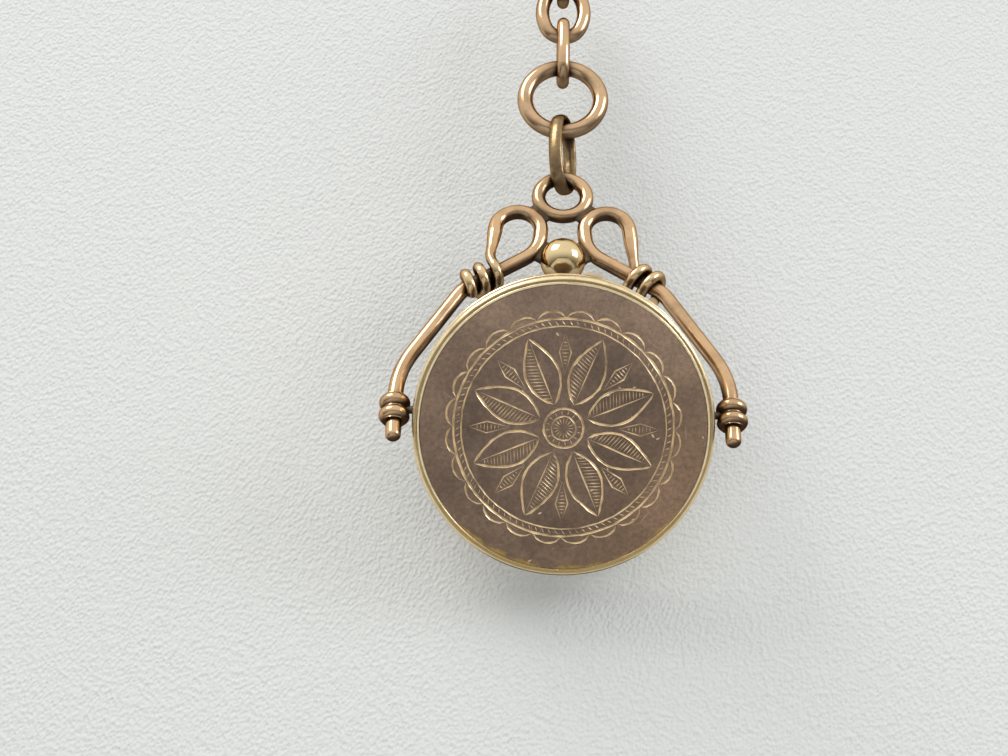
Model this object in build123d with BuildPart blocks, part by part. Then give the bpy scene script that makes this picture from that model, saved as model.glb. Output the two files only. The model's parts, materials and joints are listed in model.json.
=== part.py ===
from build123d import *
import math
import os

os.makedirs("parts", exist_ok=True)

# Swivel locket fob on a short chain. Millimetres and degrees, +Z up, +Y away from the viewer.
# The origin is inside the top link, where the wire of the next link up the chain would sit.

# How the pieces hang at rest
hanger_lean = 8  # the hanger's foot stands this far out towards the viewer
locket_turn = 33  # the locket's upper edge is turned this far towards the viewer
jump_ring_turn = 22  # about the chain's own line

# Chain
link_gap = 0.06
link_wire = 1.2
link_length = 7.6
link_width = 4.4
link_end_radius = 1.35
oval_wire = 1.35
oval_length = 7.2
oval_width = 5.45
oval_end_radius = 1.8
ring_wire = 1.5
ring_width = 8.8
jump_thickness = 0.7
jump_strip_width = 1.3
jump_length = 8.4
jump_width = 4.8
jump_end_radius = 1.65
jump_gap = 0.14
jump_cut_width = 0.22
jump_cut_angle = 50  # from the top of the ring down its front

# Locket case
locket_radius = 13.05
locket_thickness = 3.9
pivot_rise = 1.05  # the pivots lie this far above the middle of the case
case_wall = 1.05
rim_edge = 0.06
rim_width = 0.72  # from the plate's edge to the side of the case
plate_thickness = 0.33
plate_recess = 0.09
rim_bead = 0.125  # radius of the bead that holds the plate
rim_dip = 0.1
band_inset = 0.15
band_width = 1.7
band_thickness = 1.2
snap_wall = 0.38
snap_height = 0.3
snap_gap = 0.07
solder_gap = 0.02
seam_gap = 0.03
photo_thickness = 0.08
crystal_thickness = 0.22
frame_thickness = 0.26
frame_width = 1.55
frame_chamfer = 0.08
stack_gap = 0.01
stack_side_gap = 0.05

# Hinge and lip of the cover
hinge_angle = 10.7  # left of the lowest point of the case
knuckle_radius = 0.4
knuckle_length = 1.3
cover_knuckle_length = 1.3
knuckle_gap = 0.05
knuckle_inset = 0.05  # the knuckles lie this far inside the rim
notch_gap = 0.08
hinge_pin_radius = 0.18
hinge_pin_chamfer = 0.05
hinge_running_gap = 0.03
lip_angle = 10.7  # right of the highest point of the case, seen from the front
lip_width = 1.5
lip_length = 0.25
lip_thickness = 0.35
lip_lift = 0.05
lip_round = 0.2

# Pivots and collars
running_gap = 0.2
pivot_pin_radius = 0.35
pivot_running_gap = 0.03
pivot_bite = 1.1  # the pin starts this far inside the rim
pivot_past = 0.4  # and ends this far beyond the middle of the bow's wire
pivot_end_gap = 0.1
pin_chamfer = 0.06
collar_radius = 1.36
collar_neck_radius = 1.0
collar_half_height = 1.27
collar_mouth_radius = 0.75
collar_mouth_depth = 0.35

# Hanger
bow_wire = 1.36
bow_foot = 3.1
foot_round = 0.6
climb_heading = 121.3  # the run beside the case
shoulder_heading = 146.8  # the run that carries the binding
riser_heading = 95  # the run above the ball
hip_bend_radius = 8.8
shoulder_bend_radius = 3.4
neck_bend_radius = 3.2  # this bend touches the ball
loop_radius = 2.1
loop_corners = 3
loop_bend_share = 0.97
tail_wire = 0.95
tail_knee = 1.0
tail_bend_radius = 2.5
taper_start_share = 0.4  # of the run from the loop's last corner to the knee
taper_end_share = 0.78
binding_gap = 0.03
binding_pitch = 1.4
binding_turns = 2.25
binding_lead = 15  # degrees before the tail's side where the winding starts
binding_inset = 2.4  # inboard of the shoulder run's nearest point to the case
ball_radius = 2.08
ball_gap = 0.25
window_height = 2.4
bail_wire = 1.3
bail_width = 5.8

overrun = 1.0  # how far a cut reaches past what it cuts


def oval(half_length, half_width, end_radius):
    """Four tangent arcs round an oval that is long upwards, drawn on the line in work."""
    rise = half_length - end_radius
    side_radius = (rise**2 + half_width**2 - end_radius**2) / (2 * (half_width - end_radius))
    meet = math.atan2(rise, side_radius - half_width)
    side_x = side_radius * math.cos(meet) - (side_radius - half_width)
    side_y = side_radius * math.sin(meet)
    ThreePointArc((side_x, -side_y), (half_width, 0), (side_x, side_y))
    ThreePointArc((side_x, side_y), (0, half_length), (-side_x, side_y))
    ThreePointArc((-side_x, side_y), (-half_width, 0), (-side_x, -side_y))
    ThreePointArc((-side_x, -side_y), (0, -half_length), (side_x, -side_y))


def arc_middle(start, corner, end):
    """Middle point of the arc that touches both lines through the corner at its ends."""
    chord_middle = (start + end) * 0.5
    lift = corner - chord_middle
    half_chord = (end - start).length / 2
    half_turn = math.atan2(lift.length, half_chord)
    return chord_middle + lift.normalized() * half_chord * math.tan(half_turn / 2)


def biarc(start, start_heading, end, end_heading):
    """Two arcs between two points that leave and arrive along unit headings."""
    across = end - start
    both = start_heading + end_heading
    spread = 2 * (1 - start_heading.dot(end_heading))
    along = across.dot(both)
    reach = (math.sqrt(along**2 + spread * across.dot(across)) - along) / spread
    first_corner = start + start_heading * reach
    second_corner = end - end_heading * reach
    meet = (first_corner + second_corner) * 0.5
    ThreePointArc(start, arc_middle(start, first_corner, meet), meet)
    ThreePointArc(meet, arc_middle(meet, second_corner, end), end)


# Chain, from the top link down. Each link's upper bend sits on the lower bend of the one above.
link_half = (link_length - link_wire) / 2
oval_half = (oval_length - oval_wire) / 2
ring_half = (ring_width - ring_wire) / 2
jump_half = (jump_length - jump_thickness) / 2
bail_half = (bail_width - bail_wire) / 2

top_link_top = link_wire / 2 + oval_wire / 2 + link_gap
top_link_foot = top_link_top - 2 * link_half
oval_link_top = top_link_foot + link_wire / 2 + oval_wire / 2 + link_gap
oval_link_foot = oval_link_top - 2 * oval_half
small_link_top = oval_link_foot + oval_wire / 2 + link_wire / 2 + link_gap
small_link_foot = small_link_top - 2 * link_half
large_ring_top = small_link_foot + link_wire / 2 + ring_wire / 2 + link_gap
large_ring_foot = large_ring_top - 2 * ring_half
jump_ring_top = large_ring_foot + ring_wire / 2 + jump_thickness / 2 + jump_gap
jump_ring_foot = jump_ring_top - 2 * jump_half
bail_top = jump_ring_foot + jump_thickness / 2 + bail_wire / 2 + jump_gap


def hanging_plane(height, turn):
    """Upright plane on the chain's line, turned about it; its x runs to the right or away."""
    across = Vector(math.sin(math.radians(turn)), -math.cos(math.radians(turn)))
    return Plane(origin=(0, 0, height), x_dir=across.cross(Vector(0, 0, -1)), z_dir=across)


edge_on = 90

for name, top in (("top_link", top_link_top), ("small_link", small_link_top)):
    with BuildPart() as link:
        with BuildLine(hanging_plane(top - link_half, edge_on)) as link_route:
            oval(link_half, (link_width - link_wire) / 2, link_end_radius)
        with BuildSketch(Plane(origin=link_route.line @ 0, z_dir=link_route.line % 0)):
            Circle(link_wire / 2)
        sweep()
    link.part.label = name
    export_step(link.part, f"parts/{name}.step")

with BuildPart() as oval_link:
    with BuildLine(hanging_plane(oval_link_top - oval_half, 0)) as oval_route:
        oval(oval_half, (oval_width - oval_wire) / 2, oval_end_radius)
    with BuildSketch(Plane(origin=oval_route.line @ 0, z_dir=oval_route.line % 0)):
        Circle(oval_wire / 2)
    sweep()
oval_link.part.label = "oval_link"
export_step(oval_link.part, "parts/oval_link.step")

with BuildPart(hanging_plane(large_ring_top - ring_half, 0)) as large_ring:
    Torus(ring_half, ring_wire / 2)
large_ring.part.label = "large_ring"
export_step(large_ring.part, "parts/large_ring.step")

# The jump ring is flattened wire, cut through once near the top of its front
jump_plane = hanging_plane(jump_ring_top - jump_half, edge_on - jump_ring_turn)
with BuildPart() as jump_ring:
    with BuildLine(jump_plane) as jump_route:
        oval(jump_half, (jump_width - jump_thickness) / 2, jump_end_radius)
    jump_start = Plane(origin=jump_route.line @ 0, x_dir=jump_plane.z_dir, z_dir=jump_route.line % 0)
    with BuildSketch(jump_start):
        Ellipse(jump_strip_width / 2, jump_thickness / 2)
    sweep()
    with BuildSketch(jump_plane.offset(-jump_strip_width)):
        with Locations((0, jump_half - jump_end_radius)):
            with PolarLocations(jump_end_radius, 1, start_angle=90 + jump_cut_angle):
                Rectangle(jump_thickness + overrun, jump_cut_width)
    extrude(amount=2 * jump_strip_width, mode=Mode.SUBTRACT)
jump_ring.part.label = "jump_ring"
export_step(jump_ring.part, "parts/jump_ring.step")

# Hanger. Its own flat frame has the pivot line at zero height and leans out at the foot.
bail_outer = bail_half + bail_wire / 2
ball_height = pivot_rise + locket_radius + ball_gap + ball_radius
bail_height = ball_height + ball_radius + window_height + bail_outer
lean = math.radians(hanger_lean)
hanger_up = Vector(0, math.sin(lean), math.cos(lean))
hanger_front = Vector(0, -math.cos(lean), math.sin(lean))
pivot = Vector(0, 0, bail_top) - hanger_up * (bail_height + bail_half)

bail_middle = pivot + hanger_up * bail_height
with BuildPart(Plane(origin=bail_middle, x_dir=(1, 0, 0), z_dir=hanger_front)) as bail_ring:
    Torus(bail_half, bail_wire / 2)
bail_ring.part.label = "bail_ring"
export_step(bail_ring.part, "parts/bail_ring.step")

ball_middle = pivot + hanger_up * ball_height
with BuildPart(Plane(origin=ball_middle, x_dir=(1, 0, 0), z_dir=hanger_front)) as ball:
    Sphere(ball_radius)
ball.part.label = "ball"
export_step(ball.part, "parts/ball.step")

# One bow in the hanger's frame: outwards from the middle, upwards from the pivot line, and to
# one side. Its straight runs keep clear of the circle that the turning case sweeps, whose middle
# is above the pivot line, and the bend at its neck touches the ball.
bow_radius = bow_wire / 2
tail_radius = tail_wire / 2
winding_radius = bow_radius + binding_gap + tail_radius
swept_radius = locket_radius + running_gap
pivot_reach = swept_radius + collar_radius
climb_distance = swept_radius + bow_radius
shoulder_distance = swept_radius + winding_radius + tail_radius
ball_touch = ball_radius + solder_gap + bow_radius


def heading(angle):
    """Unit step at this angle above straight out."""
    return Vector(math.cos(math.radians(angle)), math.sin(math.radians(angle)), 0)


def crossing(first_heading, first_distance, second_heading, second_distance):
    """Corner of two runs that pass the swept circle's middle on their left at these distances."""
    first = heading(first_heading - 90)
    second = heading(second_heading - 90)
    whole = first.X * second.Y - first.Y * second.X
    out = (first_distance * second.Y - second_distance * first.Y) / whole
    up = (first.X * second_distance - second.X * first_distance) / whole
    return Vector(out, pivot_rise + up, 0)


hip_height = pivot_rise + (
    climb_distance - pivot_reach * heading(climb_heading - 90).X
) / heading(climb_heading - 90).Y
hip = Vector(pivot_reach, hip_height, 0)
shoulder = crossing(climb_heading, climb_distance, shoulder_heading, shoulder_distance)
above = heading(shoulder_heading - 90)
ball_rise = ball_height - pivot_rise
bend_above = shoulder_distance - ball_rise * above.Y + neck_bend_radius
bend_along = math.sqrt((ball_touch + neck_bend_radius) ** 2 - bend_above**2)
bend_from_ball = above * bend_above - heading(shoulder_heading) * bend_along
riser_right = heading(riser_heading - 90)
riser_distance = bend_from_ball.X * riser_right.X + bend_from_ball.Y * riser_right.Y - neck_bend_radius
riser_from_middle = ball_rise * riser_right.Y + riser_distance
neck = crossing(shoulder_heading, shoulder_distance, riser_heading, riser_from_middle)

# The binding winds outwards round the shoulder run, down across the side that the tail lies on
along = heading(shoulder_heading) * -1
tail_side = Vector(0, 0, -1)
winding_foot = Vector(0, pivot_rise, 0) + above * shoulder_distance - along * binding_inset


def winding(angle):
    """Place and heading of the binding's middle line, this far round the shoulder run."""
    turned = math.radians(angle)
    outwards = tail_side * math.cos(turned) - above * math.sin(turned)
    onwards = tail_side * -math.sin(turned) - above * math.cos(turned)
    advance = along * binding_pitch * (angle + binding_lead) / 360
    course = onwards * winding_radius + along * binding_pitch / (2 * math.pi)
    return winding_foot + advance + outwards * winding_radius, course.normalized()


winding_steps = round(binding_turns * 4)
winding_angles = [90 * step - binding_lead for step in range(winding_steps + 1)]
tail_end, tail_course = winding(-binding_lead)
knee = tail_end - tail_course * tail_knee

# The loop touches the riser run on one side and the bail ring on the other. The tail's run
# leaves it towards the knee.
loop_offset = riser_distance + loop_radius
loop_reach = loop_radius + bow_radius + solder_gap + bail_outer
bail_above_ball = bail_height - ball_height
level = bail_above_ball * heading(riser_heading).Y
spare = loop_offset**2 + bail_above_ball**2 - loop_reach**2
spare -= 2 * loop_offset * bail_above_ball * riser_right.Y
climb = level - math.sqrt(level**2 - spare)
loop_middle = Vector(0, ball_height, 0) + riser_right * loop_offset
loop_middle += heading(riser_heading) * climb

rise_from_knee = loop_middle.Y - knee.Y
out_from_knee = loop_middle.X - knee.X
knee_spoke = math.degrees(math.atan2(rise_from_knee, out_from_knee))
knee_distance = math.hypot(rise_from_knee, out_from_knee)
tail_heading = knee_spoke + math.degrees(math.acos(loop_radius / knee_distance)) - 270
loop_turn = (riser_heading - tail_heading) / loop_corners
corner_distance = loop_radius / math.cos(math.radians(loop_turn / 2))
loop_points = []
for corner in range(loop_corners):
    spoke = riser_heading + 90 - loop_turn * (corner + 0.5)
    loop_points.append(loop_middle + heading(spoke) * corner_distance)

descent = knee - loop_points[-1]
taper_start = loop_points[-1] + descent * taper_start_share
taper_end = loop_points[-1] + descent * taper_end_share
foot = Vector(pivot_reach, -bow_foot, 0)
bow_points = [foot, hip, shoulder, neck, *loop_points, taper_start]
bow_bends = [hip_bend_radius, shoulder_bend_radius, neck_bend_radius] + [loop_radius * loop_bend_share] * loop_corners

hole_radius = pivot_pin_radius + pivot_running_gap
hole_end = pivot_reach + pivot_past + pivot_end_gap

sides = {
    "left": Plane(origin=pivot, x_dir=(-1, 0, 0), z_dir=-hanger_front),
    "right": Plane(origin=pivot, x_dir=(1, 0, 0), z_dir=hanger_front),
}

for side, side_plane in sides.items():
    place = side_plane.from_local_coords
    pivot_hole = Plane(origin=place(Vector(hole_end, 0, 0)), z_dir=-side_plane.x_dir)

    with BuildPart() as bow:
        with BuildLine() as bow_route:
            FilletPolyline(*[place(point) for point in bow_points], radius=bow_bends)
        with BuildSketch(Plane(origin=bow_route.line @ 0, z_dir=bow_route.line % 0)):
            Circle(bow_radius)
        sweep()
        fillet(bow.edges().filter_by(GeomType.CIRCLE).sort_by(Axis.Z)[0], foot_round)
        with BuildLine() as tail_route:
            FilletPolyline(place(taper_end), place(knee), place(tail_end), radius=tail_bend_radius)
        with BuildSketch(Plane(origin=place(taper_end), z_dir=tail_route.line % 0)):
            Circle(tail_radius)
        sweep(path=tail_route.line)
        with BuildSketch(Plane(origin=place(taper_start), z_dir=tail_route.line % 0)):
            Circle(bow_radius)
        with BuildSketch(Plane(origin=place(taper_end), z_dir=tail_route.line % 0)):
            Circle(tail_radius)
        loft()
        with BuildSketch(pivot_hole):
            Circle(hole_radius)
        extrude(amount=pivot_past + pivot_end_gap + bow_radius + overrun, mode=Mode.SUBTRACT)
    bow.part.label = f"{side}_bow"
    export_step(bow.part, f"parts/{side}_bow.step")

    with BuildPart() as binding:
        with BuildLine() as binding_route:
            for start, end in zip(winding_angles, winding_angles[1:]):
                (from_place, from_course), (to_place, to_course) = winding(start), winding(end)
                from_place, to_place = place(from_place), place(to_place)
                from_course = place(from_course) - pivot
                to_course = place(to_course) - pivot
                biarc(from_place, from_course, to_place, to_course)
        with BuildSketch(Plane(origin=binding_route.line @ 0, z_dir=binding_route.line % 0)):
            Circle(tail_radius)
        sweep()
    binding.part.label = f"{side}_binding"
    export_step(binding.part, f"parts/{side}_binding.step")

    collar_plane = Plane(
        origin=place(Vector(pivot_reach, 0, 0)), x_dir=side_plane.x_dir, z_dir=side_plane.z_dir
    )
    bead_radius = collar_half_height / 2
    with BuildPart() as collar:
        with BuildSketch(collar_plane):
            Rectangle(collar_neck_radius, 2 * collar_half_height, align=(Align.MIN, Align.CENTER))
            with Locations(
                (collar_radius - bead_radius, bead_radius),
                (collar_radius - bead_radius, -bead_radius),
            ):
                Circle(bead_radius)
            Rectangle(
                bow_radius + solder_gap,
                2 * (collar_half_height + overrun),
                align=(Align.MIN, Align.CENTER),
                mode=Mode.SUBTRACT,
            )
        revolve(axis=Axis(collar_plane.origin, hanger_up))
        with BuildSketch(pivot_hole.offset(pivot_past + pivot_end_gap)):
            Circle(hole_radius)
        extrude(amount=collar_radius + overrun, mode=Mode.SUBTRACT)
        mouth_plane = pivot_hole.offset(pivot_past + pivot_end_gap + collar_radius)
        with BuildSketch(mouth_plane):
            Circle(collar_mouth_radius)
        with BuildSketch(mouth_plane.offset(-collar_mouth_depth)):
            Circle(hole_radius)
        loft(mode=Mode.SUBTRACT)
    collar.part.label = f"{side}_collar"
    export_step(collar.part, f"parts/{side}_collar.step")

    pin_root = locket_radius - pivot_bite
    pin_end = pivot_reach + pivot_past
    with BuildPart() as pivot_pin:
        with BuildSketch(Plane(origin=place(Vector(pin_root, 0, 0)), z_dir=side_plane.x_dir)):
            Circle(pivot_pin_radius)
        extrude(amount=pin_end - pin_root)
        chamfer(pivot_pin.edges().sort_by(Axis(pivot, side_plane.x_dir))[-1], pin_chamfer)
    pivot_pin.part.label = f"{side}_pivot_pin"
    export_step(pivot_pin.part, f"parts/{side}_pivot_pin.step")


# Least distance between two stretches of a binding that are half a turn or more apart
samples_per_turn = 48
samples = round(binding_turns * samples_per_turn)
trail = [binding_route.line @ (step / samples) for step in range(samples + 1)]
least = min(
    (trail[far] - trail[near]).length
    for near in range(samples)
    for far in range(near + samples_per_turn // 2, samples + 1)
)
print(f"binding: least gap to itself {least - tail_wire:.3f} mm")

# Locket. Its own plane has the middle of the case at zero and looks out of the front. The back
# half is the cover, so that it opens away from the hanger whichever way up the locket is turned.
turn = math.radians(locket_turn)
locket_front = Vector(0, -math.cos(turn), -math.sin(turn))
locket_up = Vector(0, -math.sin(turn), math.cos(turn))
locket_middle = pivot - locket_up * pivot_rise
locket_plane = Plane(origin=locket_middle, x_dir=(1, 0, 0), z_dir=locket_front)
cover_front = -locket_front
cover_plane = Plane(origin=locket_middle, x_dir=(-1, 0, 0), z_dir=cover_front)
locket_half = locket_thickness / 2
band_half = band_thickness / 2
case_inner = locket_radius - case_wall
band_radius = locket_radius - band_inset
plate_radius = locket_radius - rim_width
seat_radius = plate_radius + solder_gap
plate_foot = locket_half - plate_recess - plate_thickness
photo_foot = plate_foot - stack_gap - photo_thickness
crystal_foot = photo_foot - stack_gap - crystal_thickness
frame_foot = crystal_foot - stack_gap - frame_thickness
stack_radius = case_inner - stack_side_gap

# The hinge line lies in the seam, square to the spoke that points at it
hinge_radius = locket_radius - knuckle_radius - knuckle_inset
hinge_spoke = -90 - hinge_angle
hinge_out = locket_plane.from_local_coords(heading(hinge_spoke)) - locket_middle
hinge_middle = locket_middle + hinge_out * hinge_radius + cover_front * (band_half + seam_gap / 2)
hinge_course = hinge_out.cross(cover_front)
notch_half = math.sqrt(locket_radius**2 - hinge_radius**2) + notch_gap
notch_reach = knuckle_radius + notch_gap


def hinge_plane(along_hinge):
    """Cross section of the hinge: x points out of the case and y to its back."""
    origin = hinge_middle + hinge_course * along_hinge
    return Plane(origin=origin, x_dir=hinge_out, z_dir=hinge_course)


with BuildPart() as centre_band:
    with BuildSketch(locket_plane.offset(-band_half)):
        Circle(band_radius)
        Circle(band_radius - band_width, mode=Mode.SUBTRACT)
    extrude(amount=band_thickness)
    with BuildSketch(cover_plane.offset(band_half)):
        Circle(case_inner - snap_gap)
        Circle(case_inner - snap_gap - snap_wall, mode=Mode.SUBTRACT)
    extrude(amount=snap_height)
    for side_plane in sides.values():
        root = side_plane.from_local_coords(Vector(pin_root - pivot_end_gap, 0, 0))
        with BuildSketch(Plane(origin=root, z_dir=side_plane.x_dir)):
            Circle(pivot_pin_radius + solder_gap)
        extrude(amount=locket_radius, mode=Mode.SUBTRACT)
    with BuildSketch(hinge_plane(-notch_half)):
        with Locations((-notch_reach, -notch_reach)):
            Rectangle(
                notch_reach + overrun, notch_reach + overrun, align=(Align.MIN, Align.MIN)
            )
    extrude(amount=2 * notch_half, mode=Mode.SUBTRACT)
centre_band.part.label = "centre_band"
export_step(centre_band.part, "parts/centre_band.step")

# Both halves of the case, alike but for the hinge notch in the cover. A round bead holds the
# plate, and the rim rolls down from it to the side.
bead_rise = locket_half - rim_bead
roll_rise = bead_rise - rim_dip
roll_radius = locket_radius - seat_radius - 2 * rim_bead
halves = (("front", locket_front, solder_gap), ("back", cover_front, seam_gap))

for half, outwards, seam in halves:
    half_plane = Plane(origin=locket_middle, x_dir=(1, 0, 0), z_dir=outwards)
    section_plane = Plane(
        origin=locket_middle, x_dir=(1, 0, 0), z_dir=Vector(1, 0, 0).cross(outwards)
    )
    seam_height = band_half + seam
    with BuildPart() as bezel:
        with BuildSketch(section_plane):
            with BuildLine():
                Polyline(
                    (seat_radius, bead_rise),
                    (seat_radius, plate_foot - stack_gap),
                    (case_inner, plate_foot - stack_gap),
                    (case_inner, seam_height),
                    (locket_radius - rim_edge, seam_height),
                    (locket_radius, seam_height + rim_edge),
                    (locket_radius, roll_rise - roll_radius),
                )
                roll_middle = (locket_radius - roll_radius, roll_rise - roll_radius)
                CenterArc(roll_middle, roll_radius, 0, 90)
                Line((locket_radius - roll_radius, roll_rise), (seat_radius + 2 * rim_bead, bead_rise))
                CenterArc((seat_radius + rim_bead, bead_rise), rim_bead, 0, 180)
            make_face()
        revolve(axis=Axis(locket_middle, outwards))
        if half == "back":
            with BuildSketch(hinge_plane(-notch_half)):
                with Locations((-notch_reach, notch_reach)):
                    Rectangle(
                        notch_reach + overrun, notch_reach + overrun, align=(Align.MIN, Align.MAX)
                    )
            extrude(amount=2 * notch_half, mode=Mode.SUBTRACT)
    bezel.part.label = f"{half}_bezel"
    export_step(bezel.part, f"parts/{half}_bezel.step")

    discs = (
        ("plate", plate_foot, plate_thickness, plate_radius),
        ("photo", photo_foot, photo_thickness, stack_radius),
        ("crystal", crystal_foot, crystal_thickness, stack_radius),
    )
    for name, disc_foot, thickness, radius in discs:
        with BuildPart() as disc:
            with BuildSketch(half_plane.offset(disc_foot)):
                Circle(radius)
            extrude(amount=thickness)
        disc.part.label = f"{half}_{name}"
        export_step(disc.part, f"parts/{half}_{name}.step")

    with BuildPart() as photo_frame:
        with BuildSketch(half_plane.offset(frame_foot)):
            Circle(stack_radius)
            Circle(stack_radius - frame_width, mode=Mode.SUBTRACT)
        extrude(amount=frame_thickness)
        inner_edges = photo_frame.edges().filter_by(GeomType.CIRCLE).sort_by(SortBy.RADIUS)[:2]
        chamfer(inner_edges, frame_chamfer)
    photo_frame.part.label = f"{half}_photo_frame"
    export_step(photo_frame.part, f"parts/{half}_photo_frame.step")

# Hinge: two knuckles footed on the band, one on the cover between them, and the pin
foot_reach = notch_reach - solder_gap
pin_hole_radius = hinge_pin_radius + hinge_running_gap
band_knuckle_start = cover_knuckle_length / 2 + knuckle_gap

with BuildPart() as band_knuckles:
    for knuckle_start in (band_knuckle_start, -band_knuckle_start - knuckle_length):
        with BuildSketch(hinge_plane(knuckle_start)):
            Circle(knuckle_radius)
            Rectangle(foot_reach, foot_reach, align=(Align.MAX, Align.MAX))
            Circle(pin_hole_radius, mode=Mode.SUBTRACT)
        extrude(amount=knuckle_length)
band_knuckles.part.label = "band_knuckles"
export_step(band_knuckles.part, "parts/band_knuckles.step")

with BuildPart() as cover_knuckle:
    with BuildSketch(hinge_plane(-cover_knuckle_length / 2)):
        Circle(knuckle_radius)
        Rectangle(foot_reach, foot_reach, align=(Align.MAX, Align.MIN))
        Circle(pin_hole_radius, mode=Mode.SUBTRACT)
    extrude(amount=cover_knuckle_length)
cover_knuckle.part.label = "cover_knuckle"
export_step(cover_knuckle.part, "parts/cover_knuckle.step")

hinge_pin_half = band_knuckle_start + knuckle_length
with BuildPart() as hinge_pin:
    with BuildSketch(hinge_plane(-hinge_pin_half)):
        Circle(hinge_pin_radius)
    extrude(amount=2 * hinge_pin_half)
    chamfer(hinge_pin.edges().filter_by(GeomType.CIRCLE), hinge_pin_chamfer)
hinge_pin.part.label = "hinge_pin"
export_step(hinge_pin.part, "parts/hinge_pin.step")

# Thumbnail lip on the cover's rim
with BuildPart() as opening_lip:
    with BuildSketch(cover_plane.offset(band_half + seam_gap + lip_lift)):
        with PolarLocations(locket_radius, 1, start_angle=90 + lip_angle):
            RectangleRounded(2 * lip_length, lip_width, lip_round)
        Circle(locket_radius + solder_gap, mode=Mode.SUBTRACT)
    extrude(amount=lip_thickness)
opening_lip.part.label = "opening_lip"
export_step(opening_lip.part, "parts/opening_lip.step")

# Where the pieces turn, for the joints and the mounts
places = {
    "oval_link": Vector(0, 0, oval_link_top),
    "small_link": Vector(0, 0, small_link_top),
    "large_ring": Vector(0, 0, large_ring_top),
    "jump_ring": Vector(0, 0, large_ring_foot),
    "bail": Vector(0, 0, bail_top),
    "pivot": pivot,
    "hinge": hinge_middle,
    "hinge course": hinge_course,
    "front face": locket_middle + locket_front * (locket_half - plate_recess),
    "back face": locket_middle - locket_front * (locket_half - plate_recess),
    "front": locket_front,
}
for name, spot in places.items():
    print(f"{name}: {spot.X:.5f}, {spot.Y:.5f}, {spot.Z:.5f}")
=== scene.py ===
import math
import random

import bmesh
import bpy
import numpy as np
from mathutils import Matrix, Vector
from mathutils.geometry import delaunay_2d_cdt
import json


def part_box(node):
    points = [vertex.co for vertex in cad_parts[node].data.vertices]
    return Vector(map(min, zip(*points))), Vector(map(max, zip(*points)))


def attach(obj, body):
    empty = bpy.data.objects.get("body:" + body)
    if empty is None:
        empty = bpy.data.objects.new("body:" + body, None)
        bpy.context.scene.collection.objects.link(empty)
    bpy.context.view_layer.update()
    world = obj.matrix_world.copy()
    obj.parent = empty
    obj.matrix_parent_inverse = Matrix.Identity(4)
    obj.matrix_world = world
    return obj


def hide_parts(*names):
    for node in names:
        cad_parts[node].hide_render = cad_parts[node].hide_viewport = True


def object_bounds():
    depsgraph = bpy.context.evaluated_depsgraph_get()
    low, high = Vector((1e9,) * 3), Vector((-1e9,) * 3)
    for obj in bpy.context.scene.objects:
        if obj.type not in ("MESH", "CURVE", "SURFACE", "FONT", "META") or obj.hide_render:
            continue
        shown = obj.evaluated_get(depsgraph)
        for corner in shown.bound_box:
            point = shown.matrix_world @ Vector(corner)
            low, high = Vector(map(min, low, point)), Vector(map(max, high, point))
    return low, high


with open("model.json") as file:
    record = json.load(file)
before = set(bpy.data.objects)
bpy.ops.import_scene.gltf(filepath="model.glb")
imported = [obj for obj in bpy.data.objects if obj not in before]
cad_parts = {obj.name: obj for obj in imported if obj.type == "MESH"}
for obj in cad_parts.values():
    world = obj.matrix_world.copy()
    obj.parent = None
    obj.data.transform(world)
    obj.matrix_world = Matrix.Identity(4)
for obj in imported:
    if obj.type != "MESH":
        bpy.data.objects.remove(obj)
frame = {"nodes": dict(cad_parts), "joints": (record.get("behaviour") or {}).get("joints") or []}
cad_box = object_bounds()

# Camera. It looks up at the hanging fob from a little below, almost square to the locket's
# face, and leans a degree to one side.
look_up = math.radians(25)
roll = math.radians(1.1)
focal_length = 62.6
sensor_width = 36.0
near_limit = 0.005
camera_offset = Vector((-0.00518, -0.138796, -0.061504))  # from the middle of the pivots

joints = {joint["name"]: joint for joint in frame["joints"]}
pivot = Vector(joints["locket_spin"]["pos_m"])
sight = Vector((0, math.cos(look_up), math.sin(look_up)))
level_up = Vector((0, -math.sin(look_up), math.cos(look_up)))
camera_right = Vector((math.cos(roll), 0, 0)) + level_up * math.sin(roll)
camera_up = level_up * math.cos(roll) - Vector((math.sin(roll), 0, 0))

camera = bpy.data.objects.new("camera", bpy.data.cameras.new("camera"))
camera.data.lens = focal_length
camera.data.sensor_width = sensor_width
camera.data.clip_start = near_limit
camera.matrix_world = Matrix((camera_right, camera_up, -sight)).transposed().to_4x4()
camera.location = pivot + camera_offset
bpy.context.scene.collection.objects.link(camera)
bpy.context.scene.camera = camera
bpy.context.scene.view_settings.view_transform = "Standard"

# Display board and floor. The fob hangs in front of an upright padded board covered in pale
# leatherette, over a floor of the same colour. Neither hides the fob from behind or below.
board_gap = 0.0012
board_half = 0.45
floor_drop = 0.24
leatherette_colour = (0.700, 0.716, 0.718, 1)
leatherette_pale = (0.755, 0.766, 0.757, 1)
leatherette_roughness = 0.62
pale_patch_scale = 14
grain_scale = 3300
grain_depth = 0.00014
grain_strength = 0.8
grain_smoothness = 0.5
grain_turn = -1.1  # the creases run up to the right
grain_stretch = 1.3
fold_scale = grain_scale * 0.55
fold_roughness = 0.62


def put(tree, kind, inputs=None, **settings):
    """Adds a node, sets its attributes and fills its inputs with values or links. A node given as
    an input is linked by its first output."""
    node = tree.nodes.new(kind)
    for name, value in settings.items():
        setattr(node, name, value)
    for key, value in (inputs or {}).items():
        if isinstance(value, bpy.types.Node):
            value = value.outputs[0]
        if isinstance(value, bpy.types.NodeSocket):
            tree.links.new(value, node.inputs[key])
        else:
            node.inputs[key].default_value = value
    return node


def maths(tree, operation, *values):
    """A Math node on these values."""
    return put(tree, "ShaderNodeMath", dict(enumerate(values)), operation=operation)


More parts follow.
